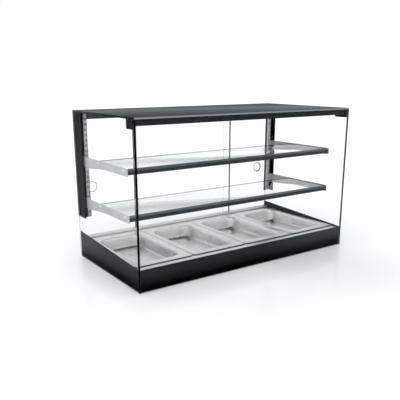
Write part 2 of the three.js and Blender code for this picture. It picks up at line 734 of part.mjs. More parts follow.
feet();
baseTray();
sidePanels();
deck();
well();
insulationBoard();
heatingElement();
temperatureProbe();
ledDriver();
terminalBlock();
rearPanel();
thermostat();
buttons();
switchFrame();
rockers();
cableGland();
pans();
glassBox();
frontTopRail();
cornerClamps();
doorTracks();
cornerCovers();
uprights();
for (const [name, top] of Object.entries(SHELF_TOPS)) {
  shelf(name, top);
}
endDoors();
centreDoor();

export default displayCase;
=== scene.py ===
"""Looks of a countertop hot food display case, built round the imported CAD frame."""

import math

import bmesh
import bpy
from mathutils import Matrix, Vector


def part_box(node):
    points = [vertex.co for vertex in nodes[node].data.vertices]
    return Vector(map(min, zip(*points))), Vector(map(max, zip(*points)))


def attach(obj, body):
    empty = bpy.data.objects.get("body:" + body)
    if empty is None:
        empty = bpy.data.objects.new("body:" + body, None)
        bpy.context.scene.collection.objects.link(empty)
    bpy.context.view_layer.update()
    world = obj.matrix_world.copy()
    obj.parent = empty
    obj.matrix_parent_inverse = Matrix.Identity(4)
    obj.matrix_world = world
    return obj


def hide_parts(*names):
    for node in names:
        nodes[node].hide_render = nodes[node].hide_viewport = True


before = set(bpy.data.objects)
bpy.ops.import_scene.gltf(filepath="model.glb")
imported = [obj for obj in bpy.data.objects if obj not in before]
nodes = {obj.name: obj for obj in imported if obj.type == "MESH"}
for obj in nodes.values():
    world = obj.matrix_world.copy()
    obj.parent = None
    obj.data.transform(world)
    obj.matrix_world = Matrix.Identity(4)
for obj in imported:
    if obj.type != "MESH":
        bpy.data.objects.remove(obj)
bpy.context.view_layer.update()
scene = bpy.context.scene
MM = 0.001
X, Y, Z = 0, 1, 2
WHITE = (1.0, 1.0, 1.0)
BLACK = (0.0, 0.0, 0.0)


# ---------------------------------------------------------------- node helpers

class Shader:
    """A material's node tree with short calls for the nodes the finishes share."""

    def __init__(self, name):
        self.mat = bpy.data.materials.new(name)
        self.mat.use_nodes = True
        self.tree = self.mat.node_tree
        self.tree.nodes.clear()
        self.out = self.node("ShaderNodeOutputMaterial")
        coords = self.node("ShaderNodeTexCoord")
        self.object = coords.outputs["Object"]

    def node(self, kind, inputs=None, **settings):
        made = self.tree.nodes.new(kind)
        for key, value in settings.items():
            setattr(made, key, value)
        for key, value in (inputs or {}).items():
            self.put(made.inputs[key], value)
        return made

    def put(self, socket, value):
        if isinstance(value, bpy.types.NodeSocket):
            self.tree.links.new(value, socket)
        else:
            socket.default_value = value

    def stretched(self, scale):
        """Object coordinates multiplied by scale, which lines a pattern up with an axis."""
        made = self.node("ShaderNodeVectorMath", operation="MULTIPLY")
        self.put(made.inputs[0], self.object)
        self.put(made.inputs[1], scale)
        return made.outputs[0]

    def noise(self, scale, detail=3.0, vector=None, roughness=0.5):
        made = self.node("ShaderNodeTexNoise", {"Scale": scale, "Detail": detail,
                                                "Roughness": roughness})
        self.put(made.inputs["Vector"], vector or self.object)
        return made.outputs["Fac"]

    def span(self, value, low, high, start=0.0, end=1.0):
        """value from start..end mapped to low..high, held at the ends."""
        made = self.node("ShaderNodeMapRange", {"From Min": start, "From Max": end,
                                                "To Min": low, "To Max": high})
        self.put(made.inputs["Value"], value)
        return made.outputs["Result"]

    def contrast(self, value, start=0.3, end=0.7):
        """value from start..end spread over 0..1, held at the ends."""
        return self.span(value, 0.0, 1.0, start, end)

    def math(self, operation, a, b=0.0):
        made = self.node("ShaderNodeMath", operation=operation)
        self.put(made.inputs[0], a)
        self.put(made.inputs[1], b)
        return made.outputs[0]

    def axis(self, vector, index):
        """One component of a vector: X, Y or Z."""
        parts = self.node("ShaderNodeSeparateXYZ")
        self.put(parts.inputs[0], vector)
        return parts.outputs[index]

    def mix(self, factor, a, b):
        """Colour a where factor is 0 and b where it is 1; the sockets are the node's colour set."""
        made = self.node("ShaderNodeMix", data_type="RGBA")
        self.put(made.inputs["Factor"], factor)
        self.put(made.inputs[6], (*a, 1.0) if isinstance(a, tuple) else a)
        self.put(made.inputs[7], (*b, 1.0) if isinstance(b, tuple) else b)
        return made.outputs[2]

    def blend(self, factor, a, b):
        """Shader a where factor is 0 and b where it is 1."""
        made = self.node("ShaderNodeMixShader")
        self.put(made.inputs[0], factor)
        self.put(made.inputs[1], a.outputs[0])
        self.put(made.inputs[2], b.outputs[0])
        return made

    def bump(self, height, distance, strength=1.0):
        made = self.node("ShaderNodeBump", {"Strength": strength, "Distance": distance})
        self.put(made.inputs["Height"], height)
        return made.outputs["Normal"]

    def edges(self, radius, samples=4):
        """About 1 on edges that catch light and wear, 0 on flats."""
        sharp, flat = 0.75, 0.99
        bevel = self.node("ShaderNodeBevel", {"Radius": radius}, samples=samples)
        geometry = self.node("ShaderNodeNewGeometry")
        dot = self.node("ShaderNodeVectorMath", operation="DOT_PRODUCT")
        self.put(dot.inputs[0], bevel.outputs[0])
        self.put(dot.inputs[1], geometry.outputs["Normal"])
        return self.span(dot.outputs["Value"], 1.0, 0.0, sharp, flat)

    def crevice(self, distance, low):
        """low deep in gaps and corners, rising to 1 out in the open."""
        closed, clear = 0.25, 0.95
        made = self.node("ShaderNodeAmbientOcclusion", {"Distance": distance}, samples=6)
        return self.span(made.outputs["AO"], low, 1.0, closed, clear)

    def facing(self):
        """1 at grazing view, 0 head on, the same from both sides of a pane."""
        return self.node("ShaderNodeLayerWeight", {"Blend": 0.5}).outputs["Facing"]

    def normal_axis(self, axis):
        """How squarely the surface faces along an axis, whichever way."""
        geometry = self.node("ShaderNodeNewGeometry")
        return self.math("ABSOLUTE", self.axis(geometry.outputs["Normal"], axis))

    def principled(self, **inputs):
        made = self.node("ShaderNodeBsdfPrincipled")
        for key, value in inputs.items():
            name = key.replace("_", " ")
            if isinstance(value, tuple) and len(value) == 3:
                value = (*value, 1.0)
            self.put(made.inputs[name], value)
        return made

    def finish(self, shader):
        self.put(self.out.inputs["Surface"], shader.outputs[0])
        return self.mat


def tint(colour, factor):
    return tuple(min(1.0, c * factor) for c in colour)


# ---------------------------------------------------------------- finishes

COAT_SHEEN = (0.80, 0.94, 1.0)

# Heights in m over which the painted foot shade lifts, and distances to +X over which the painted end
# light grows.
FOOT_SHADE = (0.028, 0.088)
PAINTED_END_LIGHT = (0.10, 0.42)


def powder_coat(name, colour, roughness, wear=0.3, gloss=0.10, dust_and_top_light=0.0, painted_shade_and_light=False):
    """Satin coat with orange peel, faint clouds, rubbed edges and, where asked, a painted top light that
    makes faces looking up paler.

    When asked, its colour and gloss are painted darker towards the counter over FOOT_SHADE, a painted
    shade, and its colour painted paler over the end distances to +X, a painted light.
    """
    s = Shader(name)
    cloud = s.noise(7.0, 4.0)
    base = s.mix(s.contrast(cloud), tint(colour, 0.86), tint(colour, 1.16))
    if painted_shade_and_light:
        # painted light: the coat is painted paler towards its +X end
        painted_end_light = s.span(s.axis(s.object, X), 0.0, 0.32, *PAINTED_END_LIGHT)
        base = s.mix(painted_end_light, base, tint(colour, 4.5))
        # painted shade: colour and gloss are painted darker towards the counter
        height = s.span(s.axis(s.object, Z), 0.04, 1.0, *FOOT_SHADE)
        base = s.mix(height, BLACK, base)
        gloss = s.math("MULTIPLY", height, gloss)
    # painted top light: faces that look up are painted paler
    if dust_and_top_light:
        painted_top_light = s.span(s.normal_axis(Z), 0.0, dust_and_top_light, 0.3, 0.9)
        base = s.mix(painted_top_light, base, tint(colour, 5.0))
    rubbed = s.math("MULTIPLY", s.edges(0.0012), wear)
    base = s.mix(rubbed, base, tint(colour, 3.2))
    smears = s.noise(22.0, 5.0, s.stretched((1.0, 1.0, 3.0)))
    rough = s.span(smears, roughness - 0.07, roughness + 0.09, 0.35, 0.7)
    peel = s.noise(1100.0, 1.0)
    return s.finish(s.principled(Base_Color=base, Roughness=rough, Specular_IOR_Level=gloss,
                                 Specular_Tint=COAT_SHEEN, Normal=s.bump(peel, 0.00003, 0.25)))


def brushed_metal(name, colour, roughness, along, spots=0.0, crease=1.0, hollow=1.0):
    """Metal with a grain along one axis, handling clouds and dried water spots.

    crease is the painted shade in narrow joints and hollow the painted shade inside deep forms; 1 is
    none.
    """
    across_grain, along_grain = 900.0, 9.0
    narrow_joint, deep_form = 0.010, 0.08
    s = Shader(name)
    scale = [across_grain] * 3
    scale[along] = along_grain
    grain = s.noise(1.0, 4.0, s.stretched(tuple(scale)))
    cloud = s.noise(9.0, 4.0)
    base = s.mix(s.contrast(grain), tint(colour, 0.93), tint(colour, 1.04))
    base = s.mix(s.span(cloud, 0.0, 0.2, 0.45, 0.8), base, tint(colour, 0.86))
    if spots:
        drops = s.node("ShaderNodeTexVoronoi", {"Scale": 55.0})
        s.put(drops.inputs["Vector"], s.object)
        ring = s.span(drops.outputs["Distance"], spots, 0.0, 0.05, 0.16)
        base = s.mix(ring, base, tint(colour, 0.88))
    # painted shade: narrow joints and deep hollows are painted darker
    if crease < 1.0:
        painted_crevice_shade = s.math("MULTIPLY", s.crevice(narrow_joint, crease), s.crevice(deep_form, hollow))
        base = s.mix(painted_crevice_shade, tint(colour, 0.03), base)
    rough = s.math("ADD", s.span(grain, -0.06, 0.07, 0.3, 0.7),
                   s.span(cloud, roughness, roughness + 0.1, 0.4, 0.75))
    return s.finish(s.principled(Base_Color=base, Metallic=1.0, Roughness=rough,
                                 Normal=s.bump(grain, 0.00002, 0.25)))


def clear_glass(name, thin_axis, gloss=1.0, edge=(0.30, 0.42, 0.40), edge_alpha=0.55):
    """A pane that lets straight light through, with a film of wiping marks and darker edges.

    thin_axis is the axis through its thickness: faces that look another way are its edges.
    """
    head_on, grazing_gain, falloff = 0.010, 0.90, 5.0
    s = Shader(name)
    grazing = s.math("MULTIPLY", grazing_gain, s.math("POWER", s.facing(), falloff))
    reflected = s.math("ADD", head_on, grazing)
    smears = s.noise(5.0, 6.0, s.stretched((1.0, 1.6, 1.0)), 0.6)
    film = s.span(smears, 0.85, 1.15, 0.35, 0.7)
    amount = s.math("MULTIPLY", s.math("MULTIPLY", reflected, film), gloss)
    clear = s.node("ShaderNodeBsdfTransparent", {"Color": (0.989, 0.993, 0.992, 1.0)})
    shine = s.node("ShaderNodeBsdfGlossy", {"Color": (*WHITE, 1.0)})
    s.put(shine.inputs["Roughness"], s.span(smears, 0.01, 0.06, 0.4, 0.8))
    pane = s.blend(amount, clear, shine)
    rim = s.principled(Base_Color=edge, Roughness=0.12, Alpha=edge_alpha)
    at_edge = s.span(s.normal_axis(thin_axis), 1.0, 0.0, 0.55, 0.8)
    return s.finish(s.blend(at_edge, pane, rim))


def smoked_glass(name):
    """Dark top pane: a little light comes through, and its front edge is painted paler and glossier than
    its other edges, a painted highlight.
    """
    tinted_body = 0.62
    head_on, grazing_gain, falloff = 0.02, 0.20, 4.0
    s = Shader(name)
    smears = s.noise(4.0, 6.0, None, 0.6)
    dust_and_top_light = s.noise(320.0, 2.0)
    base = s.mix(s.contrast(smears, 0.3, 0.75), (0.030, 0.034, 0.036), (0.044, 0.049, 0.051))
    base = s.mix(s.span(dust_and_top_light, 0.0, 0.25, 0.68, 0.76), base, (0.10, 0.105, 0.105))
    body = s.node("ShaderNodeBsdfDiffuse", {"Color": base})
    clear = s.node("ShaderNodeBsdfTransparent", {"Color": (0.36, 0.39, 0.40, 1.0)})
    shine = s.node("ShaderNodeBsdfGlossy", {"Color": (0.88, 0.95, 1.0, 1.0)})
    s.put(shine.inputs["Roughness"], s.span(smears, 0.04, 0.12, 0.4, 0.8))
    grazing = s.math("MULTIPLY", s.math("POWER", s.facing(), falloff), grazing_gain)
    pane = s.blend(s.math("ADD", head_on, grazing), s.blend(tinted_body, clear, body), shine)
    # painted highlight: edges that face front are painted pale and glossier, the others near black
    frontward = s.normal_axis(Y)
    rim_with_painted_highlight = s.mix(s.contrast(frontward, 0.4, 0.7), (0.004, 0.005, 0.006), (0.22, 0.24, 0.25))
    rim = s.principled(Base_Color=rim_with_painted_highlight, Roughness=0.3,
                       Specular_IOR_Level=s.span(frontward, 0.03, 0.5, 0.4, 0.7))
    at_edge = s.span(s.normal_axis(Z), 1.0, 0.0, 0.5, 0.8)
    return s.finish(s.blend(at_edge, pane, rim))


def moulded_plastic(name, colour, roughness, coat=0.0, glow=None):
    """Fine-textured moulding; glow is the strength of its own light where it has any."""
    s = Shader(name)
    cloud = s.noise(40.0, 3.0)
    base = s.mix(s.contrast(cloud), tint(colour, 0.9), tint(colour, 1.12))
    texture = s.noise(1600.0, 2.0)
    rough = s.span(s.noise(90.0, 3.0), roughness - 0.05, roughness + 0.08, 0.3, 0.7)
    made = s.principled(Base_Color=base, Roughness=rough, Coat_Weight=coat,
                        Normal=s.bump(texture, 0.00006, 0.5))
    if glow:
        made.inputs["Emission Color"].default_value = (*colour, 1.0)
        made.inputs["Emission Strength"].default_value = glow
    return s.finish(made)


def rubber(name, shade=1.0):
    """Matt rubber or sealant; shade scales its colour and its gloss."""
    s = Shader(name)
    cloud = s.noise(60.0, 4.0)
    base = s.mix(cloud, tint((0.012, 0.012, 0.012), shade), tint((0.035, 0.035, 0.034), shade))
    return s.finish(s.principled(Base_Color=base, Specular_IOR_Level=0.3 * shade,
                                 Roughness=s.span(cloud, 0.6, 0.8, 0.3, 0.7),
                                 Normal=s.bump(s.noise(900.0), 0.0001, 0.5)))


def light_bar(name):
    """Frosted cover with the diodes behind it showing as softly brighter spots."""
    diode_pitch = 0.016
    s = Shader(name)
    phase = s.math("MULTIPLY", s.axis(s.object, X), 2 * math.pi / diode_pitch)
    spots = s.span(s.math("SINE", phase), 0.0, 1.0, -0.2, 1.0)
    colour = s.mix(spots, (1.0, 0.90, 0.76), (1.0, 0.96, 0.90))
    made = s.principled(Base_Color=(0.9, 0.89, 0.86), Roughness=0.5)
    s.put(made.inputs["Emission Color"], colour)
    s.put(made.inputs["Emission Strength"], s.span(spots, 3.5, 7.0))
    return s.finish(made)


def fibre_board(name):
    """Pale insulation with strands that run from front to back."""
    s = Shader(name)
    strands = s.noise(260.0, 6.0, s.stretched((1.0, 0.3, 1.0)), 0.7)
    base = s.mix(strands, (0.60, 0.55, 0.43), (0.82, 0.78, 0.66))
    return s.finish(s.principled(Base_Color=base, Roughness=0.95,
                                 Normal=s.bump(strands, 0.0005, 0.7)))


ALUMINIUM = (0.62, 0.63, 0.64)
STEEL = (0.84, 0.84, 0.845)
finish_of = {
    "front": clear_glass("glass_front", Y, 0.16),
    "side": clear_glass("glass_side", X, 0.06),
    "shelf": clear_glass("glass_shelf", Z, 0.6, (0.030, 0.042, 0.040), 0.85),
    "door": clear_glass("glass_door", Y, 0.4),
    "top": smoked_glass("glass_smoked"),
    "anthracite": powder_coat("anthracite_coat", (0.018, 0.022, 0.024), 0.42, gloss=0.06,
                              painted_shade_and_light=True),
    "slate": powder_coat("slate_coat", (0.030, 0.036, 0.039), 0.40, dust_and_top_light=0.8),
    "edging": powder_coat("edging_coat", (0.17, 0.178, 0.178), 0.40),
    "black": powder_coat("black_coat", (0.0055, 0.007, 0.0078), 0.5, 0.2, 0.02),
    "rail": powder_coat("rail_coat", (0.015, 0.019, 0.021), 0.45, 0.2, 0.05),
    "header": powder_coat("header_coat", (0.060, 0.070, 0.073), 0.45, 0.2, 0.1),
    "seal": rubber("black_sealant", 0.05),
    "deck": brushed_metal("stainless_deck", STEEL, 0.26, X, 0.4, 0.25),
    "pan": brushed_metal("stainless_pan", STEEL, 0.27, Y, 0.5, 0.3, 0.34),
    "well": brushed_metal("stainless_well", tint(STEEL, 0.8), 0.34, X, 0.6, 0.4),
    "galvanised": brushed_metal("galvanised_sheet", (0.50, 0.52, 0.53), 0.42, X, 0.8),
    "track": brushed_metal("aluminium_track", (0.93, 0.93, 0.93), 0.5, X),
    "upright": brushed_metal("aluminium_upright", tint(ALUMINIUM, 0.8), 0.36, Z, 0.0, 0.3),
    "bracket": powder_coat("bracket_coat", (0.50, 0.515, 0.525), 0.36, 0.1),
    "grip": brushed_metal("aluminium_grip", (0.86, 0.86, 0.86), 0.35, Y),
    "plastic": moulded_plastic("plastic_black", (0.018, 0.018, 0.020), 0.42),
    "pale": moulded_plastic("plastic_pale", (0.62, 0.60, 0.54), 0.45),
    "red": moulded_plastic("plastic_red", (0.55, 0.03, 0.02), 0.22, 0.6, 0.15),
    "green": moulded_plastic("plastic_green", (0.02, 0.30, 0.07), 0.22, 0.6, 0.15),
    "rubber": rubber("rubber_foot"),
    "lamp": light_bar("led_diffuser"),
    "fibre": fibre_board("fibre_board"),
    "screw": brushed_metal("screw_steel", (0.70, 0.70, 0.71), 0.28, Z),
    "digit": moulded_plastic("display_digit", (0.95, 0.12, 0.05), 0.3, 0.0, 3.0),
    "cap": moulded_plastic("white_cap", (0.90, 0.90, 0.88), 0.35, 0.3),
    "mark": moulded_plastic("printed_mark", (0.85, 0.85, 0.83), 0.5),
}

# The finish of each kind of piece by the start of its name; the longest start counts.
FINISH_BY_NODE = {
    "base_tray": "anthracite", "side_panel": "anthracite", "shelf_profile": "slate",
    "door_edge": "edging", "front_top_rail": "rail", "corner_clamp": "black",
    "corner_cover": "black", "door_track_top": "header", "door_track_bottom": "track",
    "corner_seal": "seal", "front_glass": "front", "side_glass": "side", "top_glass": "top",
    "shelf_glass": "shelf", "door_glass": "door", "deck": "deck", "well": "well", "pan": "pan",
    "rear_panel": "galvanised", "heating_element": "galvanised", "temperature_probe": "well",
    "upright": "upright", "shelf_bracket": "bracket", "door_grip": "grip", "foot": "rubber",
    "thermostat": "plastic", "switch_frame": "plastic", "cable_gland": "plastic",
    "led_driver": "plastic", "led_bar": "lamp", "insulation_board": "fibre",
    "terminal_block": "pale", "button": "pale", "rocker_heat": "red", "rocker_light": "green",
}

# Width in mm of the softened arris on each kind of piece.
BEVEL_BY_NODE = {
    "front_glass": 0.8, "side_glass": 0.8, "top_glass": 1.0, "shelf_glass": 0.8, "door_glass": 0.7,
    "front_top_rail": 0.8, "corner_clamp": 0.8, "shelf_profile": 0.6, "thermostat": 0.6,
    "switch_frame": 0.5, "button": 0.4, "rocker": 0.6, "cable_gland": 0.3, "led_driver": 1.5,
    "base_tray": 0.4, "side_panel": 0.4, "deck": 0.4, "rear_panel": 0.3, "corner_cover": 0.4,
    "door_track": 0.4, "door_edge": 0.5, "corner_seal": 0.5, "shelf_bracket": 0.4, "upright": 0.3,
    "led_bar": 0.6, "foot": 0.8, "terminal_block": 0.5,
}


def longest_match(table, name):
    """The table's entry for the longest key that starts the name."""
    keys = [key for key in table if name.startswith(key)]
    return table[max(keys, key=len)] if keys else None


CRISP_ANGLE = 35
BEVEL_ANGLE = 40
WELD_WITHIN = 0.00001


def smooth_group():
    """A modifier that shades smooth and keeps edges sharper than CRISP_ANGLE degrees crisp."""
    group = bpy.data.node_groups.new("smooth_by_angle", "GeometryNodeTree")
    group.interface.new_socket("Geometry", in_out="INPUT", socket_type="NodeSocketGeometry")
    group.interface.new_socket("Geometry", in_out="OUTPUT", socket_type="NodeSocketGeometry")
    start = group.nodes.new("NodeGroupInput")
    end = group.nodes.new("NodeGroupOutput")
    angle = group.nodes.new("GeometryNodeInputMeshEdgeAngle")
    sharp = group.nodes.new("FunctionNodeCompare")
    sharp.operation = "GREATER_THAN"
    sharp.inputs[1].default_value = math.radians(CRISP_ANGLE)
    faces = group.nodes.new("GeometryNodeSetShadeSmooth")
    edges = group.nodes.new("GeometryNodeSetShadeSmooth")
    edges.domain = "EDGE"
    invert = group.nodes.new("FunctionNodeBooleanMath")
    invert.operation = "NOT"
    links = group.links
    links.new(angle.outputs["Unsigned Angle"], sharp.inputs[0])
    links.new(sharp.outputs[0], invert.inputs[0])
    links.new(start.outputs[0], faces.inputs["Geometry"])
    links.new(faces.outputs[0], edges.inputs["Geometry"])
    links.new(invert.outputs[0], edges.inputs["Shade Smooth"])
    links.new(edges.outputs[0], end.inputs[0])
    return group


SMOOTH = smooth_group()


def smooth_shading(obj):
    smooth = obj.modifiers.new("smooth", "NODES")
    smooth.node_group = SMOOTH


def soften(obj, width):
    """Weld the solid's seams and, where a width in mm is given, round its arrises."""
    weld = obj.modifiers.new("weld", "WELD")
    weld.merge_threshold = WELD_WITHIN
    if width:
        bevel = obj.modifiers.new("bevel", "BEVEL")
        bevel.width = width * MM
        bevel.segments = 2
        bevel.limit_method = "ANGLE"
        bevel.angle_limit = math.radians(BEVEL_ANGLE)
        bevel.use_clamp_overlap = True
    smooth_shading(obj)


for node_name, node in nodes.items():
    finish = finish_of[longest_match(FINISH_BY_NODE, node_name)]
    node.data.materials.clear()
    node.data.materials.append(finish)
    soften(node, longest_match(BEVEL_BY_NODE, node_name))


# ---------------------------------------------------------------- pans

def rounded_ring(half_x, half_y, radius, z, steps=14):
    """Points round a rectangle with rounded corners, steps to a corner, anticlockwise from +X."""
    ring = []
    for corner, (sx, sy) in enumerate([(1, 1), (-1, 1), (-1, -1), (1, -1)]):
        for i in range(steps + 1):
            angle = (corner + i / steps) * math.pi / 2
            ring.append(Vector((sx * (half_x - radius) + radius * math.cos(angle),
                                sy * (half_y - radius) + radius * math.sin(angle), z)))
    return ring


def lofted(name, rings):
    """A closed skin through rings of equal length, capped at both ends."""
    mesh = bmesh.new()
    rows = [[mesh.verts.new(p) for p in ring] for ring in rings]
    count = len(rows[0])
    for below, above in zip(rows, rows[1:]):
        for i in range(count):
            j = (i + 1) % count
            mesh.faces.new((below[i], below[j], above[j], above[i]))
    mesh.faces.new(list(reversed(rows[0])))
    mesh.faces.new(rows[-1])
    bmesh.ops.recalc_face_normals(mesh, faces=mesh.faces)
    data = bpy.data.meshes.new(name)
    mesh.to_mesh(data)
    mesh.free()
    data.polygons.foreach_set("use_smooth", [True] * len(data.polygons))
    made = bpy.data.objects.new(name, data)
    scene.collection.objects.link(made)
    return made


# Pan sizes in mm. The straight walls run from WALL_START over the floor to WALL_END below the
# underside of the rim; they lean in by TAPER, and the corner radius shrinks with the inset.
SIDE_FLANGE = 34.0
END_FLANGE = 44.0
THROAT_RADIUS = 52.0
PAN_WALL = 1.0
WALL_INSET = 3.0
WALL_START = 22.0
WALL_END = 12.0
TAPER = 0.13
UNDER_RIM = 4.0
CORNER_SHRINK = 0.6

# The rolled rim as inset from the outer edge, corner radius and depth below the top.
RIM_ROLL = ((3.4, 18.0, 1.8), (2.6, 18.8, 3.7), (1.2, 19.8, 4.1), (0.3, 20.7, 3.2), (0.0, 21.0, 1.9),
            (0.5, 20.5, 0.7), (1.8, 19.2, 0.05), (3.6, 17.6, 0.3), (5.6, 16.0, 0.9))

# The throat outside and inside: inset from the mouth, growth of the corner radius, height over the
# underside of the rim or depth below the top.
THROAT_OUTSIDE = ((2.6, 0.0, -4.0), (1.6, 0.0, -0.5), (-1.2, 1.0, 2.0))
THROAT_INSIDE = ((-3.5, 3.5, 0.9), (-1.2, 1.2, 1.2), (0.8, -0.6, 2.4), (2.2, -1.6, 4.6))

# The foot outside and inside: inset from the mouth and height over the floor.
FOOT_OUTSIDE = ((43.0, 0.0), (25.0, 0.0), (17.0, 1.6), (13.0, 6.0), (12.0, 11.0))
FOOT_INSIDE = ((13.0, 11.0), (14.2, 7.0), (18.0, 3.4), (25.0, 1.0), (43.0, 1.0))
TIGHTEST_OUTSIDE = 14.0
TIGHTEST_INSIDE = 13.0


def pressed_pan(node_name, body):
    """Deep-drawn pan: rolled outer rim, broad flat flange, drawn corners and a domed floor edge."""
    low, high = (Vector(corner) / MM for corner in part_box(node_name))
    centre = (low + high) / 2
    half_x, half_y = (high.x - low.x) / 2, (high.y - low.y) / 2
    top, floor = high.z, low.z
    rim_bottom = top - UNDER_RIM

    def level(inset, radius, z):
        return rounded_ring(half_x - SIDE_FLANGE - inset, half_y - END_FLANGE - inset, radius, z)

    def foot(sections, tightest):
        return [level(inset, max(THROAT_RADIUS - inset * CORNER_SHRINK, tightest), floor + rise)
                for inset, rise in sections]

    def wall(z, inset, radius):
        return level((rim_bottom - z) * TAPER + inset, radius, z)

    sides = (floor + WALL_START, rim_bottom - WALL_END)
    rings = foot(FOOT_OUTSIDE, TIGHTEST_OUTSIDE)
    rings += [wall(z, WALL_INSET, THROAT_RADIUS - 2.0) for z in sides]
    rings += [level(inset, THROAT_RADIUS + growth, rim_bottom + rise)
              for inset, growth, rise in THROAT_OUTSIDE]
    rings += [rounded_ring(half_x - inset, half_y - inset, radius, top - depth)
              for inset, radius, depth in RIM_ROLL]
    rings += [level(inset, THROAT_RADIUS + growth, top - depth)
              for inset, growth, depth in THROAT_INSIDE]
    rings += [wall(z, WALL_INSET + PAN_WALL, THROAT_RADIUS - 3.0) for z in reversed(sides)]
    rings += foot(FOOT_INSIDE, TIGHTEST_INSIDE)

    offset = Vector((centre.x, centre.y, 0.0))
    pan = lofted(node_name + "_pressed", [[(p + offset) * MM for p in ring] for ring in rings])
    pan.data.materials.append(finish_of["pan"])
    smooth_shading(pan)
    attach(pan, body)
    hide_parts(node_name)


for node_name, body in (("pan_1", "pan_a"), ("pan_2", "pan_b"), ("pan_3", "pan_c"),
                        ("pan_4", "pan_d")):
    pressed_pan(node_name, body)


# ---------------------------------------------------------------- small fittings

ROUND_STEPS = 24

# Shares of a head's radius and height from its foot over the dome, then its socket or its crown.
DOME = ((0.94, -0.2), (1.0, 0.0), (0.985, 0.25), (0.9, 0.6), (0.72, 0.88), (0.55, 1.0))
SOCKET = ((1.0, 1.0), (0.92, 0.92), (0.9, 0.35), (0.3, 0.2))
CROWN = ((0.3, 1.08), (0.1, 1.1))


def head(name, centre, outward, radius, height, recess, finish):
    """Domed screw or rivet head that faces along outward; recess is its socket's radius."""
    profile = [(out, along, False) for out, along in DOME]
    if recess:
        profile += [(recess / radius * out, along, True) for out, along in SOCKET]
    else:
        profile += [(out, along, False) for out, along in CROWN]
    turn = Vector(outward).to_track_quat("Z", "Y").to_matrix().to_4x4()
    place = Matrix.Translation(Vector(centre) * MM) @ turn
    rings = []
    for out, along, hexagonal in profile:
        ring = []
        for i in range(ROUND_STEPS):
            angle = 2 * math.pi * i / ROUND_STEPS
            side = angle % (math.pi / 3) - math.pi / 6
            reach = radius * out * (math.cos(math.pi / 6) / math.cos(side) if hexagonal else 1.0)
            ring.append(place @ (Vector((reach * math.cos(angle), reach * math.sin(angle),
                                         height * along)) * MM))
        rings.append(ring)
    made = lofted(name, rings)
    made.data.materials.append(finish)
    smooth_shading(made)
    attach(made, "case")


def slab(mesh, place, outer, thickness, inner=None):
    """A flat shape of that thickness, with an optional hole of as many points as its outline."""
    def row(points, z):
        return [mesh.verts.new(place @ (Vector((a, b, z)) * MM)) for a, b in points]

    loops = [row(outer, 0.0), row(outer, thickness)]
    if inner:
        loops += [row(inner, thickness), row(inner, 0.0)]
    else:
        mesh.faces.new(list(reversed(loops[0])))
        mesh.faces.new(loops[1])
    pairs = list(zip(loops, loops[1:])) + ([(loops[-1], loops[0])] if inner else [])
    for low, high in pairs:
        for i in range(len(low)):
            j = (i + 1) % len(low)
            mesh.faces.new((low[i], low[j], high[j], high[i]))


def as_piece(name, mesh, finish, body):
    """Turn the built mesh into a piece that moves with the body."""
    bmesh.ops.recalc_face_normals(mesh, faces=mesh.faces)
    data = bpy.data.meshes.new(name)
    mesh.to_mesh(data)
    mesh.free()
    made = bpy.data.objects.new(name, data)
    made.data.materials.append(finish)
    scene.collection.objects.link(made)
    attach(made, body)


# Turns a drawing so that it is read on a face that looks along +Y.
FACING_REAR = Matrix(((-1, 0, 0, 0), (0, 0, 1, 0), (0, 1, 0, 0), (0, 0, 0, 1)))

# Each segment's column, row and whether it lies flat, and the segments that light for a numeral.
SEGMENTS = {"a": (0, 2, 1), "b": (1, 1, 0), "c": (1, 0, 0), "d": (0, 0, 1), "e": (0, 0, 0),
            "f": (0, 1, 0), "g": (0, 1, 1)}
LIT = {"6": "acdefg", "5": "acdfg"}


def display_digits():
    """Set temperature on the thermostat in seven-segment numerals."""
    low, high = (Vector(corner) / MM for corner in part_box("thermostat"))
    wide, tall, stroke, gap, thickness = 5.0, 5.2, 0.6, 0.2, 0.25
    first_left, digit_pitch = -7.5, 9.0
    window_depth, baseline_drop = 0.8, 18.7
    mesh = bmesh.new()
    corner = Vector(((low.x + high.x) / 2, high.y - window_depth, high.z - baseline_drop))
    place = Matrix.Translation(corner * MM) @ FACING_REAR
    bar = [(along, side * stroke) for along, side in ((0, 0), (1, -1), (2, -1), (3, 0), (2, 1), (1, 1))]
    for position, digit in enumerate("65"):
        left = first_left + position * digit_pitch
        for key in LIT[digit]:
            column, row, flat = SEGMENTS[key]
            length = wide if flat else tall
            reach = (gap, gap + stroke, length - gap - stroke, length - gap)
            outer = [(reach[along], side) for along, side in bar]
            if flat:
                x0, z0 = left, row * tall
            else:
                x0, z0 = left + column * wide, row * tall
                outer = [(-side, along) for along, side in outer]
            slab(mesh, place, [(x0 + a, z0 + b) for a, b in outer], thickness)
    as_piece("display_digits", mesh, finish_of["digit"], "case")


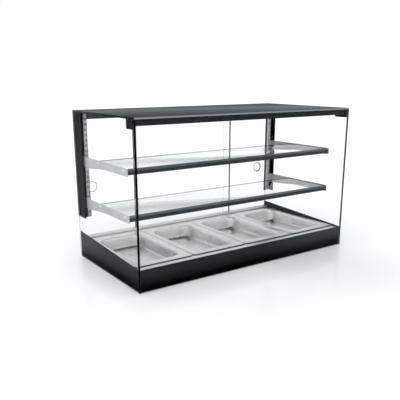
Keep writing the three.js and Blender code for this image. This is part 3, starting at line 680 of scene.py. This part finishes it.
def rocker_marks(node_name, body):
    """Raised I and O on the two slopes of a rocker cap."""
    low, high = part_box(node_name)
    tilt = math.radians(-7.0)
    slope = math.atan2(2.0, 11.0)
    hinge_y, hinge_z = 314.5, 55.0
    spot_y, spot_z = 1.6, 5.5
    half_stroke, half_height = 0.6, 2.6
    outer_radius, inner_radius, thickness = 2.7, 1.7, 0.2
    hinge = Vector(((low[0] + high[0]) / 2, hinge_y * MM, hinge_z * MM))
    rest = Matrix.Translation(hinge) @ Matrix.Rotation(tilt, 4, "X")
    angles = [2 * math.pi * i / ROUND_STEPS for i in range(ROUND_STEPS)]
    mesh = bmesh.new()
    for way in (1, -1):
        lean = Matrix.Rotation(-way * slope, 4, "X")
        spot = Matrix.Translation(Vector((0.0, spot_y, way * spot_z)) * MM)
        place = rest @ spot @ lean @ FACING_REAR
        if way > 0:
            slab(mesh, place, [(-half_stroke, -half_height), (half_stroke, -half_height),
                               (half_stroke, half_height), (-half_stroke, half_height)], thickness)
        else:
            slab(mesh, place, [(outer_radius * math.cos(a), outer_radius * math.sin(a)) for a in angles],
                 thickness, [(inner_radius * math.cos(a), inner_radius * math.sin(a)) for a in angles])
    as_piece(node_name + "_marks", mesh, finish_of["mark"], body)


def panel_screws():
    """Two rows of socket screws that hold the rear panel."""
    radius, height, socket = 4.2, 1.8, 1.9
    face_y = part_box("rear_panel")[1][1] / MM
    for row, (z, places) in enumerate(((95.0, (-635, -330, 0, 220, 470, 635)),
                                       (14.0, (-635, -330, 0, 330, 635)))):
        for i, x in enumerate(places):
            head("panel_screw_%d_%d" % (row + 1, i + 1), (x, face_y, z), (0, 1, 0), radius, height,
                 socket, finish_of["screw"])


def bracket_rivets():
    """Heads of the shelf pins on the outer face of each bracket."""
    radius, height, below_glass = 5.0, 1.8, 3.8
    for level in ("upper", "lower"):
        pin_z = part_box("shelf_glass_" + level)[0][2] / MM - below_glass
        for place, side in (("left", -1), ("right", 1)):
            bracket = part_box("shelf_bracket_%s_%s" % (level, place))
            face_x = bracket[0][0] / MM if side < 0 else bracket[1][0] / MM
            for i, y in enumerate((-182.5, 83.5)):
                head("pin_head_%s_%s_%d" % (level, place, i + 1), (face_x, y, pin_z),
                     (side, 0, 0), radius, height, 0.0, finish_of["cap"])


display_digits()
for switch in ("heat", "light"):
    rocker_marks("rocker_" + switch, switch + "_rocker")
panel_screws()
bracket_rivets()


# ---------------------------------------------------------------- floor, light, camera

# Lengths in m, angles in degrees, the lens in mm.
FLOOR_SIZE = 240.0
# Centre of the pool of painted shadow on the floor.
SHADE_POOL = (0.32, -0.60, 0.0)
FILM_WIDTH = 36.0
KEY_LIGHT = {"location": (-1.3, -0.9, 4.2), "target": (0.0, 0.0, 0.2), "size": 3.2, "power": 52.0}
CAMERA = {"location": (-1.733, -2.3475, 0.947), "pitch": 15.40, "heading": 34.81, "lens": 48.52,
          "shift": 0.0645}


def studio_floor():
    """A white floor whose glow is painted down softly round the case and more at its front right, a
    painted shadow.
    """
    bpy.ops.mesh.primitive_plane_add(size=FLOOR_SIZE, location=(0.0, 0.0, 0.0))
    floor = bpy.context.object
    floor.name = "floor"
    s = Shader("floor_white")
    worn = s.noise(0.8, 4.0)
    away = s.node("ShaderNodeVectorMath", operation="LENGTH")
    s.put(away.inputs[0], s.object)
    pool = s.node("ShaderNodeVectorMath", operation="DISTANCE")
    s.put(pool.inputs[0], s.object)
    s.put(pool.inputs[1], SHADE_POOL)
    # painted shadow: the floor's glow is lower near the case and in a pool at its front right
    deepest, near_case, open_floor = 0.03, 0.13, 0.34
    glow = s.math("MINIMUM", s.span(away.outputs["Value"], near_case, open_floor, 0.75, 2.0),
                  s.span(pool.outputs["Value"], deepest, open_floor, 0.15, 0.95))
    floor.data.materials.append(s.finish(s.principled(
        Base_Color=s.mix(worn, (0.92, 0.925, 0.94), (0.945, 0.947, 0.955)),
        Roughness=0.20, Specular_IOR_Level=0.45, Emission_Color=WHITE, Emission_Strength=glow)))


def studio_surround():
    """White behind the case; what it lights and mirrors is dimmer towards the front right."""
    world = bpy.data.worlds.new("studio")
    scene.world = world
    world.use_nodes = True
    tree = world.node_tree
    tree.nodes.clear()

    def background(colour, strength):
        made = tree.nodes.new("ShaderNodeBackground")
        made.inputs["Color"].default_value = (*colour, 1.0)
        made.inputs["Strength"].default_value = strength
        return made

    def choice(factor, a, b):
        made = tree.nodes.new("ShaderNodeMixShader")
        for socket, source in zip(made.inputs, (factor, a.outputs[0], b.outputs[0])):
            tree.links.new(source, socket)
        return made

    coords = tree.nodes.new("ShaderNodeTexCoord")
    parts = tree.nodes.new("ShaderNodeSeparateXYZ")
    tree.links.new(coords.outputs["Generated"], parts.inputs[0])
    front_right = tree.nodes.new("ShaderNodeMath")
    front_right.operation = "MULTIPLY"
    for slot, (axis, start, end) in enumerate(((0, 0.0, 0.95), (1, 0.5, -0.3))):
        share = tree.nodes.new("ShaderNodeMapRange")
        share.interpolation_type = "SMOOTHSTEP"
        share.inputs["From Min"].default_value = start
        share.inputs["From Max"].default_value = end
        tree.links.new(parts.outputs[axis], share.inputs["Value"])
        tree.links.new(share.outputs["Result"], front_right.inputs[slot])
    bright = background((0.97, 0.985, 1.0), 0.84)
    dim = background((0.96, 0.98, 1.0), 0.55)
    seen = background(WHITE, 1.0)
    path = tree.nodes.new("ShaderNodeLightPath")
    around = choice(front_right.outputs[0], bright, dim)
    out = tree.nodes.new("ShaderNodeOutputWorld")
    tree.links.new(choice(path.outputs["Is Camera Ray"], around, seen).outputs[0], out.inputs[0])


def key_light(location, target, size, power):
    """A broad soft light overhead that leaves no mirror image of itself."""
    data = bpy.data.lights.new("key", "AREA")
    data.shape = "RECTANGLE"
    data.size = data.size_y = size
    data.energy = power
    lamp = bpy.data.objects.new("key", data)
    scene.collection.objects.link(lamp)
    lamp.location = location
    lamp.rotation_mode = "QUATERNION"
    lamp.rotation_quaternion = (Vector(target) - Vector(location)).to_track_quat("-Z", "Y")
    lamp.visible_glossy = False


def camera(location, pitch, heading, lens, shift):
    """Camera that looks pitch degrees down and is turned heading degrees from +Y towards +X."""
    data = bpy.data.cameras.new("camera")
    data.lens = lens
    data.sensor_width = FILM_WIDTH
    data.shift_y = shift
    data.clip_end = 200.0
    cam = bpy.data.objects.new("camera", data)
    scene.collection.objects.link(cam)
    cam.location = location
    cam.rotation_euler = (math.radians(90 - pitch), 0.0, math.radians(-heading))
    scene.camera = cam


studio_floor()
studio_surround()
key_light(**KEY_LIGHT)
camera(**CAMERA)
scene.view_settings.view_transform = "Standard"
scene.cycles.max_bounces = 12
scene.cycles.transparent_max_bounces = 40
